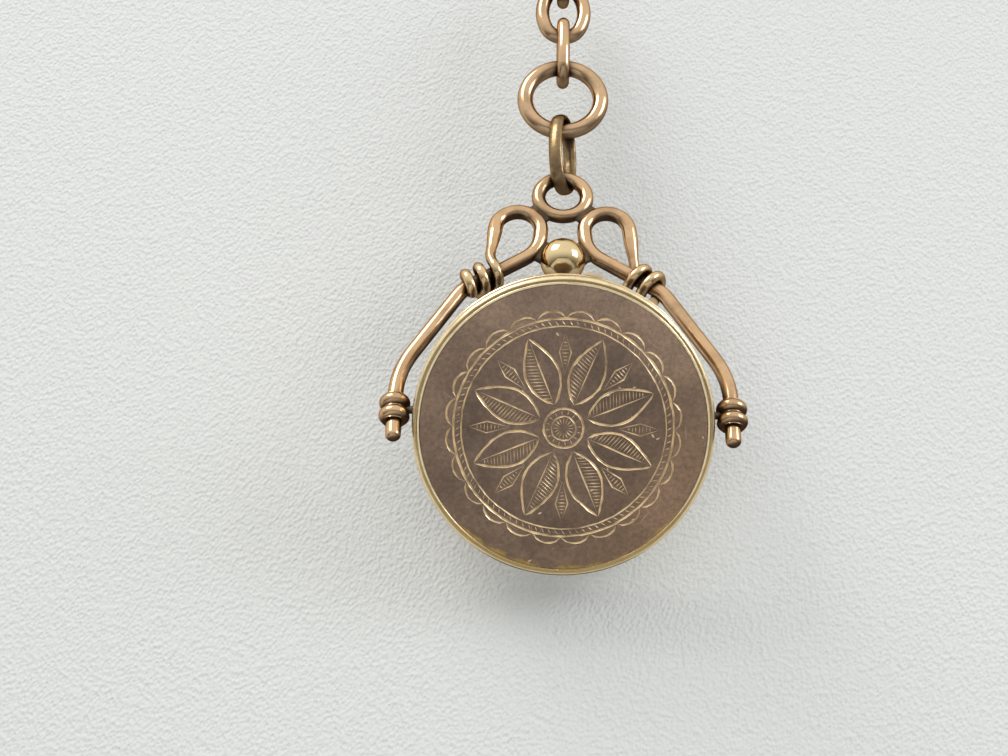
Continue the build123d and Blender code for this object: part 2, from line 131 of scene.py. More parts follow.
def mixed(tree, share, first, second, blend_type="MIX"):
    """The first colour with this share of the second."""
    inputs = {0: share, 6: first, 7: second}
    node = put(tree, "ShaderNodeMix", inputs, data_type="RGBA", blend_type=blend_type)
    return node.outputs[2]


def new_material(name):
    """An empty material with its output node."""
    material = bpy.data.materials.new(name)
    material.use_nodes = True
    material.node_tree.nodes.clear()
    output = material.node_tree.nodes.new("ShaderNodeOutputMaterial")
    return material, material.node_tree, output


leatherette, tree, output = new_material("pale_leatherette")
place = put(tree, "ShaderNodeTexCoord").outputs["Object"]
creased = put(
    tree,
    "ShaderNodeMapping",
    {"Vector": place, "Rotation": (0, grain_turn, 0), "Scale": (grain_stretch, 1, 1)},
    vector_type="TEXTURE",
)
cells = put(
    tree,
    "ShaderNodeTexVoronoi",
    {"Vector": creased, "Scale": grain_scale, "Smoothness": grain_smoothness},
    feature="SMOOTH_F1",
)
folds = put(
    tree,
    "ShaderNodeTexNoise",
    {"Vector": creased, "Scale": fold_scale, "Detail": 4, "Roughness": fold_roughness},
)
height = maths(tree, "ADD", cells, folds)
bump = put(
    tree,
    "ShaderNodeBump",
    {"Height": height, "Distance": grain_depth, "Strength": grain_strength},
)
patches = put(tree, "ShaderNodeTexNoise", {"Vector": place, "Scale": pale_patch_scale, "Detail": 2})
tint = mixed(tree, patches, leatherette_colour, leatherette_pale)
surface = put(
    tree,
    "ShaderNodeBsdfPrincipled",
    {"Base Color": tint, "Roughness": leatherette_roughness, "Normal": bump},
)
see_through = put(tree, "ShaderNodeBsdfTransparent")
behind = put(tree, "ShaderNodeNewGeometry").outputs["Backfacing"]
sides = put(tree, "ShaderNodeMixShader", {0: behind, 1: surface, 2: see_through})
tree.links.new(sides.outputs[0], output.inputs["Surface"])


def stage_sheet(name, corners):
    """A flat stage piece whose front is the side its corners run round anticlockwise on."""
    mesh = bpy.data.meshes.new(name)
    mesh.from_pydata(corners, [], [range(len(corners))])
    sheet = bpy.data.objects.new(name, mesh)
    bpy.context.scene.collection.objects.link(sheet)
    mesh.materials.append(leatherette)


board_y = cad_box[1].y + board_gap
floor_z = cad_box[0].z - floor_drop
stage_sheet(
    "display_board",
    [
        (-board_half, board_y, floor_z),
        (board_half, board_y, floor_z),
        (board_half, board_y, board_half),
        (-board_half, board_y, board_half),
    ],
)
stage_sheet(
    "floor",
    [
        (-board_half, -2 * board_half, floor_z),
        (board_half, -2 * board_half, floor_z),
        (board_half, board_y, floor_z),
        (-board_half, board_y, floor_z),
    ],
)

# Light. The studio is pale above and dim below, with one large soft lamp above on the left and
# a weaker one on the right. The polished metal mirrors a dark card that stands before the fob,
# and a warm card below that.
studio_high_colour = (0.92, 0.92, 0.89, 1)
studio_low_colour = (0.07, 0.055, 0.045, 1)
studio_rise = (-0.62, 0.50)  # heights of the low and the high colour, down being -1 and up 1
backdrop_colour = (0.76, 0.77, 0.745, 1)
dark_card_colour = (0.045, 0.036, 0.032, 1)
dark_card_half = (0.40, 0.20)
warm_card_colour = (0.60, 0.25, 0.10, 1)
warm_card_half = (0.30, 0.11)
warm_card_drop = 0.36
edge_blur = 0.05
front_half = 0.9

world = bpy.data.worlds.new("studio")
bpy.context.scene.world = world
world.use_nodes = True
tree = world.node_tree
tree.nodes.clear()
ray = put(tree, "ShaderNodeTexCoord").outputs["Generated"]


def dot(tree, vector, direction):
    """How far a vector reaches along a direction."""
    inputs = {0: vector, 1: direction}
    return put(tree, "ShaderNodeVectorMath", inputs, operation="DOT_PRODUCT").outputs["Value"]


def spread(tree, value, low, high, first=0.0, last=1.0, interpolation_type="LINEAR"):
    """Runs from first to last while the value runs from low to high."""
    inputs = {0: value, 1: low, 2: high, 3: first, 4: last}
    return put(tree, "ShaderNodeMapRange", inputs, interpolation_type=interpolation_type)


def fade(tree, value, low, high, first=0.0, last=1.0):
    """Like spread, but easing in and out."""
    return spread(tree, value, low, high, first, last, "SMOOTHSTEP")


def soft_edge(direction, middle, half):
    """One where a ray's share along this direction is within half of the middle."""
    away = maths(tree, "SUBTRACT", dot(tree, ray, direction), middle)
    away = maths(tree, "ABSOLUTE", away)
    return fade(tree, away, half - edge_blur, half + edge_blur, 1.0, 0.0)


def in_front(drop, half):
    """One inside an upright card that stands before the fob, this far below the camera."""
    across = soft_edge(camera_right, 0.0, half[0])
    card = maths(tree, "MULTIPLY", across, soft_edge(camera_up, -drop, half[1]))
    return maths(tree, "MULTIPLY", card, soft_edge(-sight, 1.0, front_half))


rise = put(tree, "ShaderNodeSeparateXYZ", {0: ray}).outputs["Z"]
dome = mixed(tree, fade(tree, rise, *studio_rise), studio_low_colour, studio_high_colour)
dome = mixed(tree, in_front(warm_card_drop, warm_card_half), dome, warm_card_colour)
dome = mixed(tree, in_front(0.0, dark_card_half), dome, dark_card_colour)
seen = put(tree, "ShaderNodeLightPath").outputs["Is Camera Ray"]
shown = mixed(tree, seen, dome, backdrop_colour)
background = put(tree, "ShaderNodeBackground", {"Color": shown, "Strength": 1.0})
output = put(tree, "ShaderNodeOutputWorld")
tree.links.new(background.outputs[0], output.inputs["Surface"])


def soft_lamp(name, offset, width, power, colour):
    """A square soft lamp that faces the pivots."""
    lamp = bpy.data.objects.new(name, bpy.data.lights.new(name, "AREA"))
    lamp.data.size = width
    lamp.data.energy = power
    lamp.data.color = colour
    lamp.location = pivot + Vector(offset)
    lamp.rotation_euler = (-Vector(offset)).to_track_quat("-Z", "Y").to_euler()
    bpy.context.scene.collection.objects.link(lamp)


soft_lamp("key_lamp", offset=(-0.28, -0.24, 0.42), width=0.26, power=1.3, colour=(1.0, 0.98, 0.95))
soft_lamp("fill_lamp", offset=(0.40, -0.22, 0.18), width=0.22, power=0.74, colour=(0.95, 0.97, 1.0))

# Chain. Links and rings of drawn rose-gold wire, closed with solder. The wire is rubbed bright
# where it meets the hand and has gone brown and grey-green on its sheltered sides, which painted
# shade darkens further, as it does the sides turned down and away from the key lamp.
wire_colour = (0.70, 0.475, 0.285, 1)
# The wire's tarnish colour, also laid as painted shade in hollows and on sides turned down and away
# from the key lamp.
wire_tarnish_and_shade = (0.075, 0.050, 0.034, 1)
wire_edge = (0.42, 0.27, 0.17, 1)
# The sheltered mask is tarnish in hollows and partly painted shade.
shelter_mottle = -0.35
shelter_run = (0.30, 0.74)
patch_run = (0.44, 0.70)
painted_shade_way = (0.30, 0.22, -0.93)  # painted shade falls on sides turned down, and away from the key lamp
painted_shade_mottle = 0.7
painted_shade_run = (0.20, 1.0)
tarnish_and_shade_dulls = 0.3
rub_dulls = 0.12


def surface_group(name, inputs):
    """An empty node group with these inputs, which puts out a surface's colour, roughness and
    normal."""
    group = bpy.data.node_groups.new(name, "ShaderNodeTree")
    for socket_name, kind, value in inputs:
        socket = group.interface.new_socket(socket_name, in_out="INPUT", socket_type=kind)
        socket.default_value = value
    group.interface.new_socket("Color", in_out="OUTPUT", socket_type="NodeSocketColor")
    group.interface.new_socket("Roughness", in_out="OUTPUT", socket_type="NodeSocketFloat")
    group.interface.new_socket("Normal", in_out="OUTPUT", socket_type="NodeSocketVector")
    return group


def worn_metal_and_painted_shade_group():
    """Node group: rubbed metal, tarnished in soft clouds and where it is sheltered, which is partly
    painted shade, with painted shade on the sides turned down and away from the key lamp.
    """
    group = surface_group(
        "worn_metal_and_painted_shade",
        (
            ("Clean", "NodeSocketColor", (0.7, 0.5, 0.3, 1)),
            ("Tarnish and shade", "NodeSocketColor", (0.1, 0.07, 0.04, 1)),
            ("Shelter", "NodeSocketFloat", 0.0025),
            ("Cloud scale", "NodeSocketFloat", 300.0),
            ("Cloud", "NodeSocketFloat", 0.4),
            ("Polish", "NodeSocketFloat", 0.2),
            ("Dent scale", "NodeSocketFloat", 700.0),
            ("Dent depth", "NodeSocketFloat", 0.000012),
            ("Rub scale", "NodeSocketFloat", 6000.0),
            ("Rub depth", "NodeSocketFloat", 0.0000012),
            ("Underside", "NodeSocketFloat", 0.0),
        ),
    )
    given = put(group, "NodeGroupInput").outputs
    surface = put(group, "ShaderNodeTexCoord").outputs
    place = surface["Object"]
    cloud = put(
        group,
        "ShaderNodeTexNoise",
        {"Vector": place, "Scale": given["Cloud scale"], "Detail": 6, "Roughness": 0.62},
    )
    # Ambient occlusion: tarnish in hollows and between parts, and partly painted shade.
    shelter = put(
        group, "ShaderNodeAmbientOcclusion", {"Distance": given["Shelter"]}, samples=8
    ).outputs["AO"]
    ragged = maths(group, "MULTIPLY_ADD", cloud, shelter_mottle, shelter)
    deep = spread(group, ragged, *shelter_run, 1.0, 0.0)
    patch = maths(group, "MULTIPLY", spread(group, cloud, *patch_run), given["Cloud"])
    tarnish_and_shade_mask = maths(group, "MAXIMUM", patch, deep)
    # Painted shade: the tarnish colour on sides turned down and away from the key lamp.
    turned = dot(group, surface["Normal"], painted_shade_way)
    turned = maths(group, "MULTIPLY_ADD", cloud, painted_shade_mottle, turned)
    turned = fade(group, turned, *painted_shade_run, 0.0, given["Underside"])
    tarnish_and_shade_mask = maths(group, "MAXIMUM", tarnish_and_shade_mask, turned)
    colour = mixed(group, tarnish_and_shade_mask, given["Clean"], given["Tarnish and shade"])
    dent = put(
        group, "ShaderNodeTexNoise", {"Vector": place, "Scale": given["Dent scale"], "Detail": 2}
    )
    rub = put(
        group,
        "ShaderNodeTexNoise",
        {"Vector": place, "Scale": given["Rub scale"], "Detail": 3, "Distortion": 1.2},
    )
    dull = maths(group, "MULTIPLY_ADD", tarnish_and_shade_mask, tarnish_and_shade_dulls, given["Polish"])
    dull = maths(group, "MULTIPLY_ADD", rub, rub_dulls, dull)
    dents = put(
        group,
        "ShaderNodeBump",
        {"Height": dent, "Distance": given["Dent depth"], "Strength": 1.0},
    )
    rubs = put(
        group,
        "ShaderNodeBump",
        {"Height": rub, "Distance": given["Rub depth"], "Strength": 1.0, "Normal": dents},
    )
    put(group, "NodeGroupOutput", {"Color": colour, "Roughness": dull, "Normal": rubs})
    return group


worn_metal_and_painted_shade = worn_metal_and_painted_shade_group()


def metal_surface(tree, output, worn_and_shaded, edge=(1, 1, 1, 1)):
    """Gives a material a metal shader fed by a worn surface with its painted light and shade; edge
    tints what it mirrors at a grazing angle."""
    shader = put(
        tree,
        "ShaderNodeBsdfPrincipled",
        {
            "Base Color": worn_and_shaded.outputs["Color"],
            "Roughness": worn_and_shaded.outputs["Roughness"],
            "Normal": worn_and_shaded.outputs["Normal"],
            "Metallic": 1.0,
            "Specular Tint": edge,
        },
    )
    tree.links.new(shader.outputs[0], output.inputs["Surface"])


def metal(name, clean, tarnish_and_shade_colour, edge=(1, 1, 1, 1), **values):
    """A metal finished with the worn metal group, whose tarnish colour also lies as painted shade;
    values are the group's other inputs. A clean colour may be a function that adds its nodes."""
    material, tree, output = new_material(name)
    if callable(clean):
        clean = clean(tree)
    worn_and_shaded = put(
        tree, "ShaderNodeGroup", {"Clean": clean, "Tarnish and shade": tarnish_and_shade_colour}, node_tree=worn_metal_and_painted_shade
    )
    for key, value in values.items():
        worn_and_shaded.inputs[key.replace("_", " ").capitalize()].default_value = value
    metal_surface(tree, output, worn_and_shaded, edge)
    return material


def dress(material, slot, *names):
    """Gives CAD nodes this material."""
    for name in names:
        node = frame["nodes"][name]
        node.data.materials.clear()
        node.data.materials.append(material)


rose_wire = metal(
    "rose_gold_wire", wire_colour, wire_tarnish_and_shade, wire_edge, cloud=0.45, polish=0.06, underside=0.7
)
dress(rose_wire, "wire", "top_link", "oval_link", "small_link", "large_ring")

# Jump ring. A strip of flattened brass wire bent round and left open at a narrow cut. It was
# never plated, so it has gone brown and dull.
brass_colour = (0.33, 0.225, 0.12, 1)
# The brass's tarnish colour, also laid as painted shade in its hollows and on sides turned down and
# away from the key lamp.
brass_tarnish_and_shade = (0.055, 0.045, 0.033, 1)
old_brass = metal(
    "old_brass",
    brass_colour,
    brass_tarnish_and_shade,
    wire_edge,
    cloud=0.85,
    polish=0.16,
    cloud_scale=520.0,
    rub_depth=0.000003,
    underside=0.6,
)
dress(old_brass, "old_brass", "jump_ring")

# Hanger. Two wires bent alike, each with a loop at its shoulder and its drawn-down tail wound
# round it, a ring above them and a ball between them. Beaded sleeves close the pivots.
hanger_colour = (0.75, 0.495, 0.283, 1)
binding_colour = (0.80, 0.58, 0.34, 1)
ball_colour = (0.90, 0.70, 0.40, 1)
hanger_gold = metal(
    "hanger_gold", hanger_colour, wire_tarnish_and_shade, wire_edge, cloud=0.4, polish=0.05, underside=1.0
)
dress(hanger_gold, "wire", "bail_ring", "left_bow", "right_bow", "left_collar", "right_collar")
binding_gold = metal(
    "binding_gold",
    binding_colour,
    wire_tarnish_and_shade,
    wire_edge,
    cloud=0.35,
    polish=0.06,
    shelter=0.0012,
    underside=0.6,
)
dress(binding_gold, "wire", "left_binding", "right_binding")
ball_gold = metal(
    "ball_gold",
    ball_colour,
    wire_tarnish_and_shade,
    wire_edge,
    cloud=0.10,
    polish=0.03,
    dent_depth=0.000006,
    underside=0.4,
)
dress(ball_gold, "wire", "ball")

# Solder webs. The ring and the ball are brazed to the two wires, and the brazing has run into
# the corners between them, where it was never polished and has gone dark.
solder_colour = (0.13, 0.10, 0.065, 1)
# The solder's tarnish colour, also laid as painted shade in the corners it fills.
solder_tarnish_and_shade = (0.04, 0.032, 0.026, 1)
ring_bend = 0.00225
loop_bend = 0.0021
loop_middle = Vector((0.00418, 0.00351))  # out and up from the ball's middle
bend_middle = Vector((0.005364, 0.002645))  # of the bend at the neck, the same way
neck_bend = 0.0032
ball_radius = 0.00208
flank_share = 0.82  # where in the ball the web starts
web_steps = 24
web_reach = 0.00122
web_middle = 0.00044
web_root = 0.00052
web_lumps = 0.00004
web_square = 0.35  # the smaller it is, the flatter the web's two faces are

ring_middle = sum(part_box("bail_ring"), Vector()) / 2
ball_middle = sum(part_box("ball"), Vector()) / 2
hanger_up = (ring_middle - ball_middle).normalized()
hanger_front = Vector((1, 0, 0)).cross(hanger_up)
ring_height = (ring_middle - ball_middle).length
towards_loop = (loop_middle - Vector((0, ring_height))).normalized()
loop_angle = math.atan2(towards_loop.y, towards_loop.x)
solder = metal(
    "solder", solder_colour, solder_tarnish_and_shade, cloud=0.8, polish=0.28, dent_depth=0.00003
)


def ring_web_ends(share):
    """Middle lines of the ring and of the loop, either side of where they touch."""
    run = share * web_reach
    on_ring = Vector((0, ring_height)) + ring_bend * Vector(
        (math.cos(loop_angle + run / ring_bend), math.sin(loop_angle + run / ring_bend))
    )
    on_loop = loop_middle - loop_bend * Vector(
        (math.cos(loop_angle - run / loop_bend), math.sin(loop_angle - run / loop_bend))
    )
    return on_ring, on_loop


def ball_web_ends(share):
    """The ball's flank and the middle line of the wire that bends round beside it."""
    run = share * web_reach
    outwards = bend_middle.normalized()
    along = Vector((-outwards.y, outwards.x))
    flank = flank_share * math.sqrt(ball_radius**2 - run**2)
    wire = bend_middle.length - math.sqrt(neck_bend**2 - run**2)
    return along * run + outwards * flank, along * run + outwards * wire


def web(name, side, ends_at):
    """A thin lumpy web between two pieces; ends_at gives its two edges at a share of its run."""
    chance = random.Random(name)
    body = bmesh.new()
    rows = []
    for step in range(web_steps + 1):
        share = 2 * step / web_steps - 1
        first, second = ends_at(share)
        waist = web_middle * math.sqrt(max(0.0, 1 - share * share)) + web_lumps / 4
        row = []
        for turn in range(web_steps):
            angle = 2 * math.pi * turn / web_steps
            across = (1 - math.cos(angle)) / 2
            thick = waist + (web_root - waist) * (2 * across - 1) ** 2
            flat = first.lerp(second, across)
            lift = thick * math.copysign(abs(math.sin(angle)) ** web_square, math.sin(angle))
            lift += chance.uniform(-1, 1) * web_lumps * math.sin(angle) ** 2
            place = ball_middle + Vector((side * flat.x, 0, 0))
            row.append(body.verts.new(place + hanger_up * flat.y + hanger_front * lift))
        rows.append(row)
    for low, high in zip(rows, rows[1:]):
        for turn in range(web_steps):
            after = (turn + 1) % web_steps
            body.faces.new((low[turn], low[after], high[after], high[turn]))
    body.faces.new(list(reversed(rows[0])))
    body.faces.new(rows[-1])
    bmesh.ops.recalc_face_normals(body, faces=body.faces)
    mesh = bpy.data.meshes.new(name)
    body.to_mesh(mesh)
    body.free()
    for face in mesh.polygons:
        face.use_smooth = True
    piece = bpy.data.objects.new(name, mesh)
    bpy.context.scene.collection.objects.link(piece)
    mesh.materials.append(solder)
    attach(piece, "bail")


for side_name, side in (("left", -1), ("right", 1)):
    web(f"{side_name}_ring_solder", side, ring_web_ends)
    web(f"{side_name}_ball_solder", side, ball_web_ends)

# Case of the locket. A centre band with steel pivot pins, and a rim turned for each half, in
# yellower gold than the wire. The halves hinge on a steel pin. Old polish and dirt lie in the
# dip of each rim and in the seams, where painted shade deepens them; a painted shadow darkens
# the lower edge of the rim, and painted shade its downturned sides.
rim_colour = (1.0, 0.83, 0.55, 1)
rim_edge = (0.92, 0.76, 0.52, 1)
# The rim's dirt colour, also laid as painted shade in its seams and on its downturned sides.
rim_dirt_and_shade = (0.14, 0.095, 0.045, 1)
rim_dip_colour = (0.46, 0.31, 0.125, 1)
rim_dip_depth = 0.9
rim_shadow_colour = (0.07, 0.048, 0.032, 1)
rim_shadow_width = 0.00020
rim_shadow_blur = 0.4
rim_shadow_run = (-0.0103, -0.0117)  # heights on the plate where it starts and is whole
rim_shadow_depth = 0.9
rim_soil_run = (-0.003, -0.0105)  # heights where the dip starts to be fouled, and is most
rim_wander_scale = 420
steel_colour = (0.5, 0.5, 0.49, 1)
# The steel's dirt colour, also laid as painted shade where the pins are sheltered.
steel_dirt_and_shade = (0.1, 0.08, 0.06, 1)

plate_low, plate_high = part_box("front_plate")
plate_middle = (plate_low + plate_high) / 2
plate_radius = (plate_high.x - plate_low.x) / 2
plate_out = Vector((0, -0.83867, -0.54464))
plate_across = Vector((1, 0, 0))
plate_up = plate_out.cross(plate_across)
rim_low, rim_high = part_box("front_bezel")
rim_radius = (rim_high.x - rim_low.x) / 2
dip_inset = 0.00036
dip_middle = plate_radius + dip_inset
dip_half = 0.00012
dip_blur = (1.1, 1.7)  # where its edge starts and ends, in half widths


def rim_tones_with_painted_shadow(tree):
    """Colour of the rim: olive inside its dip, which is fouled wider at the bottom, and a painted
    shadow at its lower edge."""
    place = put(tree, "ShaderNodeTexCoord").outputs["Object"]
    arm = put(tree, "ShaderNodeVectorMath", {0: place, 1: plate_middle}, operation="SUBTRACT")
    up = dot(tree, arm, plate_up)
    arm = put(tree, "ShaderNodeVectorMath", {0: arm, 1: plate_out}, operation="CROSS_PRODUCT")
    reach = put(tree, "ShaderNodeVectorMath", {0: arm}, operation="LENGTH").outputs["Value"]
    low = spread(tree, up, *rim_shadow_run, 0.0, rim_shadow_depth)
    edge_start = rim_radius - rim_shadow_width
    edge = spread(tree, reach, edge_start, edge_start + rim_shadow_blur * rim_shadow_width)
    soil = spread(tree, up, *rim_soil_run, 0.0, dip_half)
    away = maths(tree, "SUBTRACT", maths(tree, "ADD", reach, soil), dip_middle)
    away = maths(tree, "SUBTRACT", maths(tree, "ABSOLUTE", away), soil)
    wander = put(
        tree, "ShaderNodeTexNoise", {"Vector": place, "Scale": rim_wander_scale, "Detail": 5}
    )
    wander = maths(tree, "MULTIPLY_ADD", wander, dip_half, away)
    dip = fade(tree, wander, dip_half * dip_blur[0], dip_half * dip_blur[1], rim_dip_depth, 0.0)
    colour = mixed(tree, dip, rim_colour, rim_dip_colour)
    return mixed(tree, maths(tree, "MULTIPLY", low, edge), colour, rim_shadow_colour)


rim_gold = metal(
    "rim_gold",
    rim_tones_with_painted_shadow,
    rim_dirt_and_shade,
    rim_edge,
    cloud=0.35,
    polish=0.19,
    shelter=0.0003,
    cloud_scale=900.0,
    underside=0.2,
)
dress(
    rim_gold,
    "rim",
    "front_bezel",
    "back_bezel",
    "centre_band",
    "band_knuckles",
    "cover_knuckle",
    "opening_lip",
    "front_photo_frame",
    "back_photo_frame",
)
steel = metal("pin_steel", steel_colour, steel_dirt_and_shade, polish=0.25)
dress(steel, "steel", "left_pivot_pin", "right_pivot_pin", "hinge_pin")

# Plates. Two flat discs of rose-brown gold snapped into the rims. The patina has never been
# polished off; it is mottled, with hairlines and nicks, and greyer where the ornament is cut.
# Painted light lies on it: a warm reflection to the right and down, a highlight over the top
# and shade at the foot.
plate_light = (0.278, 0.191, 0.138, 1)
plate_dark = (0.192, 0.134, 0.102, 1)
plate_painted_glow = (0.350, 0.222, 0.142, 1)
plate_crust = (0.42, 0.28, 0.085, 1)
plate_grey = (0.74, 0.75, 0.78, 1)  # what the patina inside the ornament is multiplied by
mottle_scale = 150
mottle_run = (0.33, 0.67)
painted_glow_way = (0.75, -0.65)  # the painted warm reflection lies to the right and down
painted_glow_run = (0.002, 0.0125)
painted_glow_depth = 0.55
# Painted shade darkens the foot of the face and a painted highlight lightens its top.
painted_shade_foot_run = (-0.013, 0.0)
painted_shade_foot_light = 0.82
painted_highlight_head_run = (0.001, 0.012)
painted_highlight_head_light = 1.45
speckle_scale = 2600
speckle_run = (0.3, 0.7)
speckle_light = (0.72, 1.28)
ragged_scale = 500
ragged_width = 0.0012
ornament_radius = 0.0092
ornament_blur = 0.0014
crust_width = 0.0006
crust_edge = (0.00068, 0.00098)  # past the plate's radius, before the ragged noise
crust_run = (-0.0105, -0.002)
crust_depth = 0.85
hairline_turns = (0.25, 0.9, 1.7, 2.5, 2.95)
hairline_size = (0.0038, 0.00012, 1)
hairline_run = (0.735, 0.80)
hairline_depth = 0.4
nick_colour = (0.80, 0.62, 0.45, 1)
nick_turns = (0.45, 2.2)
nick_spacing = (0.0024, 0.0009, 1)
nick_growth = 0.26
nick_rarity = -0.15
nick_rag = 0.12
nick_run = (-0.01, 0.05)
nick_relief = -0.8
patina_relief = 0.000006
patina_roughness = (0.5, 0.4)


def patina_and_painted_light_group():
    """Node group: mottled brown patina with short hairlines and small bright nicks, under a painted
    warm reflection to the right and down, a painted highlight at the top and painted shade at the
    foot. Ornament is how grey it is inside the ornament."""
    tree = surface_group("plate_patina_and_painted_light", (("Ornament", "NodeSocketFloat", 0.0),))
    ornament = put(tree, "NodeGroupInput").outputs["Ornament"]
    place = put(tree, "ShaderNodeTexCoord").outputs["Object"]
    arm = put(tree, "ShaderNodeVectorMath", {0: place, 1: plate_middle}, operation="SUBTRACT")
    across = dot(tree, arm, plate_across)
    up = dot(tree, arm, plate_up)
    flat = put(tree, "ShaderNodeCombineXYZ", {0: across, 1: up})
    reach = put(tree, "ShaderNodeVectorMath", {0: flat}, operation="LENGTH").outputs["Value"]

    mottle = put(
        tree,
        "ShaderNodeTexNoise",
        {"Vector": place, "Scale": mottle_scale, "Detail": 5, "Roughness": 0.6},
    )
    mottle = fade(tree, mottle, *mottle_run)
    colour = mixed(tree, mottle, plate_dark, plate_light)
    # Painted reflection: a warm patch to the right and down.
    painted_glow = maths(
        tree, "MULTIPLY_ADD", across, painted_glow_way[0], maths(tree, "MULTIPLY", up, painted_glow_way[1])
    )
    colour = mixed(tree, fade(tree, painted_glow, *painted_glow_run, 0.0, painted_glow_depth), colour, plate_painted_glow)
    # Painted shade at the foot and a painted highlight over the top.
    painted_shade_foot = fade(tree, up, *painted_shade_foot_run, painted_shade_foot_light, 1.0)
    painted_light_and_shade = maths(tree, "MULTIPLY", painted_shade_foot, fade(tree, up, *painted_highlight_head_run, 1.0, painted_highlight_head_light))
    speckle = put(
        tree,
        "ShaderNodeTexNoise",
        {"Vector": place, "Scale": speckle_scale, "Detail": 5, "Roughness": 0.75},
    )
    speckle = spread(tree, speckle, *speckle_run, *speckle_light)
    colour = mixed(tree, 1.0, colour, maths(tree, "MULTIPLY", painted_light_and_shade, speckle), "MULTIPLY")

    ragged = put(tree, "ShaderNodeTexNoise", {"Vector": place, "Scale": ragged_scale, "Detail": 3})
    reach = maths(tree, "MULTIPLY_ADD", ragged, ragged_width, reach)
    inside = fade(tree, reach, ornament_radius, ornament_radius + ornament_blur, ornament, 0.0)
    colour = mixed(tree, inside, colour, mixed(tree, 1.0, colour, plate_grey, "MULTIPLY"))
    crust = maths(tree, "MULTIPLY_ADD", ragged, crust_width, reach)
    crust = fade(tree, crust, plate_radius + crust_edge[0], plate_radius + crust_edge[1])
    crust = maths(tree, "MULTIPLY", crust, fade(tree, up, *crust_run, crust_depth, 0.0))
    colour = mixed(tree, crust, colour, mixed(tree, 1.0, plate_crust, speckle, "MULTIPLY"))

    hairlines = 0.0
    for angle in hairline_turns:
        turned = put(
            tree,
            "ShaderNodeMapping",
            {"Vector": flat, "Rotation": (0, 0, angle), "Scale": hairline_size},
            vector_type="TEXTURE",
        )
        hair = put(tree, "ShaderNodeTexNoise", {"Vector": turned, "Scale": 1.0, "Detail": 1})
        hairlines = maths(tree, "MAXIMUM", fade(tree, hair, *hairline_run), hairlines)
    nicks = 0.0
    for angle in nick_turns:
        turned = put(
            tree,
            "ShaderNodeMapping",
            {"Vector": flat, "Rotation": (0, 0, angle), "Scale": nick_spacing},
            vector_type="TEXTURE",
        )
        cell = put(tree, "ShaderNodeTexVoronoi", {"Vector": turned, "Scale": 1.0})
        chosen = put(tree, "ShaderNodeSeparateColor", {0: cell.outputs["Color"]})
        size = maths(tree, "MULTIPLY_ADD", chosen, nick_growth, nick_rarity)
        nick = maths(tree, "SUBTRACT", size, cell.outputs["Distance"])
        rag = maths(tree, "SUBTRACT", speckle, 1.0)
        nick = maths(tree, "MULTIPLY_ADD", rag, nick_rag, nick)
        nicks = maths(tree, "MAXIMUM", fade(tree, nick, *nick_run), nicks)
    bright = maths(tree, "MAXIMUM", maths(tree, "MULTIPLY", hairlines, hairline_depth), nicks)
    colour = mixed(tree, bright, colour, nick_colour)
    relief = maths(tree, "MULTIPLY_ADD", bright, nick_relief, speckle)
    bump = put(
        tree, "ShaderNodeBump", {"Height": relief, "Distance": patina_relief, "Strength": 1.0}
    )
    rough = spread(tree, mottle, 0.0, 1.0, *patina_roughness)
    put(tree, "NodeGroupOutput", {"Color": colour, "Roughness": rough, "Normal": bump})
    return tree


patina_and_painted_light = patina_and_painted_light_group()


def plate_material(name, ornament):
    """A plate's patina with its painted light, this grey inside the ornament."""
    material, tree, output = new_material(name)
    worn_and_shaded = put(tree, "ShaderNodeGroup", {"Ornament": ornament}, node_tree=patina_and_painted_light)
    metal_surface(tree, output, worn_and_shaded)
    return material


plain_plate = plate_material("plain_patina_and_painted_light", 0.0)
dress(plain_plate, "plate", "back_plate")

# Engraving. A round ornament cut by hand with a graver: eight hatched leaves inside a scalloped
# border. The cuts go through the patina, so they are bright.
line_width = 0.00019
fine_width = 0.00012
hatch_width = 0.00008
graver_shake = 0.000015
graver_pressure = (0.72, 1.2)
cut_slope = 0.8
cut_bright_depth = 0.000004
leaf_count = 8
leaf_root = 0.0022
leaf_tip = 0.0083
leaf_half_width = 0.00155
leaf_roundness = 0.85
leaf_fullness = 1.15
leaf_thinning = 0.45
leaf_steps = 14
midrib_shares = (0.04, 0.3, 0.6, 0.93)
vein_pitch = 0.00030
vein_gap = 0.00006
vein_lean = 0.35
vein_reach = (0.78, 1.0)
vein_foresight = 0.06  # how much further along the leaf a leaning vein ends
vein_last_share = 0.97
veins_left_out = 3
dart_root = 0.0046
dart_shoulder = 0.0066
dart_tip = 0.0082
dart_half_width = 0.00052
dart_bars = 7
dart_bar_start = 0.0056
dart_bar_pitch = 0.0003
dart_bar_half = 0.00042
dart_widest_bar = 3.4
dart_bar_taper = 5
boss_outer = 0.0017
boss_outer_steps = 40
boss_inner = 0.00105
boss_inner_steps = 28
boss_rays = 16
boss_ray = (0.00035, 0.00098)
boss_tick = (0.00113, 0.00158)
boss_tick_turn = 0.12
border_inner = 0.0088
border_inner_steps = 120
border_outer = 0.00945
border_outer_steps = 132
tick_count = 96
tick_gaps = (0.00008, 0.00014)
tick_turn = 0.035
scallop_count = 24
scallop_steps = 6
scallop_gap = 0.0001
scallop_height = 0.00058
scallop_roundness = 0.7
scallop_width = fine_width * 1.25
plate_edge_steps = 180
plate_thickness = 0.00033
net_tolerance = 1e-8
cut_colour = (1.0, 0.80, 0.53, 1)
# The cuts' dirt colour, also laid as painted shade deep in the grooves.
cut_dirt_and_shade = (0.34, 0.24, 0.15, 1)
ornament_greyness = 0.8

graver = random.Random(11)
strokes = []


